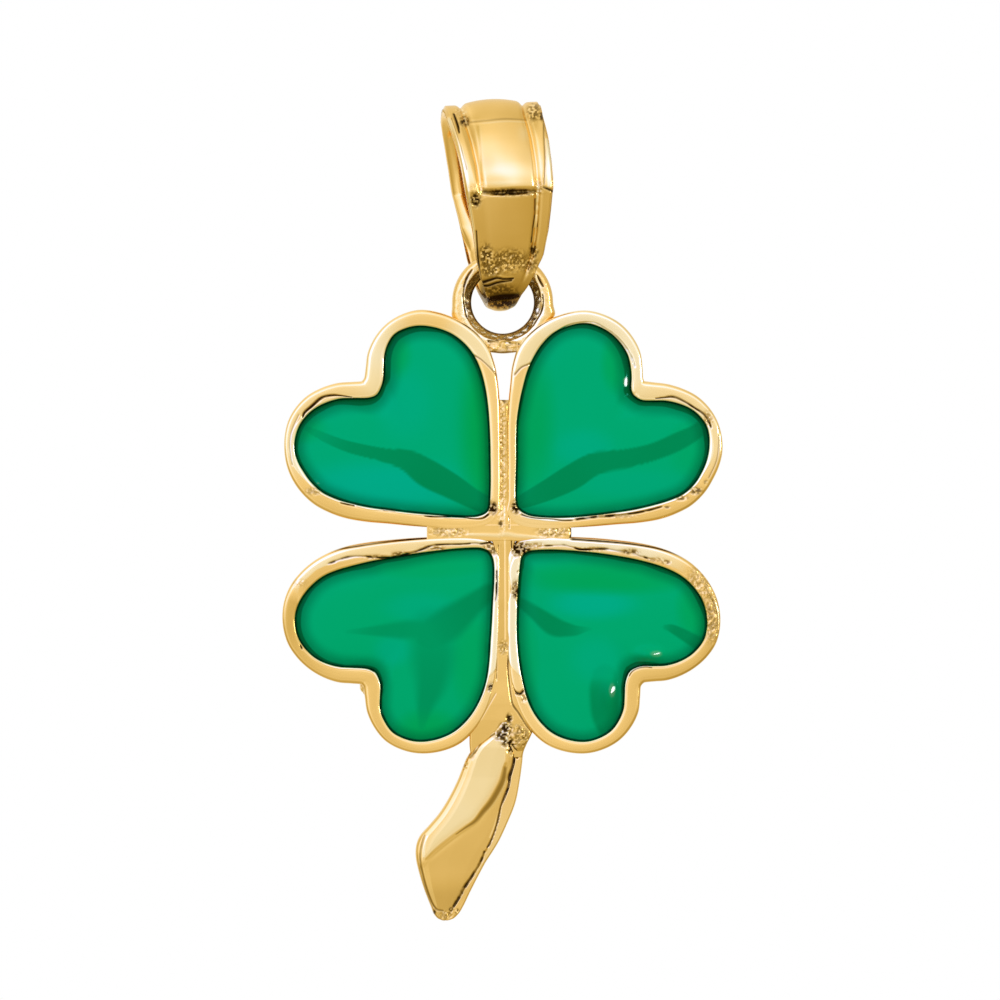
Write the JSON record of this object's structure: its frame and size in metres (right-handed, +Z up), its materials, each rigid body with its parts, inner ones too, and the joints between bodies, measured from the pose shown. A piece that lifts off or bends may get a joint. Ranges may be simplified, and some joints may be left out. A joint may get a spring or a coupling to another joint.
{
  "type": "clover pendant",
  "caption": "Small gold clover pendant with domed green resin in heart-shaped leaves, a curved stem, and a tapered bail through its ring that takes a fine chain.",
  "frame": {"origin": "the chain's seat, on the inside of the bail's top", "axes": "+Z up, against the pull of the hanging clover; the face looks along -Y; +X is the viewer's right"},
  "size_m": [0.0131, 0.0039, 0.0246],
  "materials": {
    "gold": "polished yellow gold",
    "bail_gold": "polished yellow gold with small casting pits",
    "green_resin": "glossy see-through green resin"
  },
  "bodies": {
    "bail": {"bail": "bail_gold"},
    "clover": {"clover_frame": "gold", "enamel_upper_left": "green_resin", "enamel_upper_right": "green_resin", "enamel_lower_left": "green_resin", "enamel_lower_right": "green_resin"}
  },
  "joints": [
    {"name": "clover_swing", "type": "hinge", "parent": "bail", "child": "clover", "pos_m": [0.00033, 0, -0.00433], "axis": [1, 0, 0], "range_deg": [-45, 40]}
  ]
}
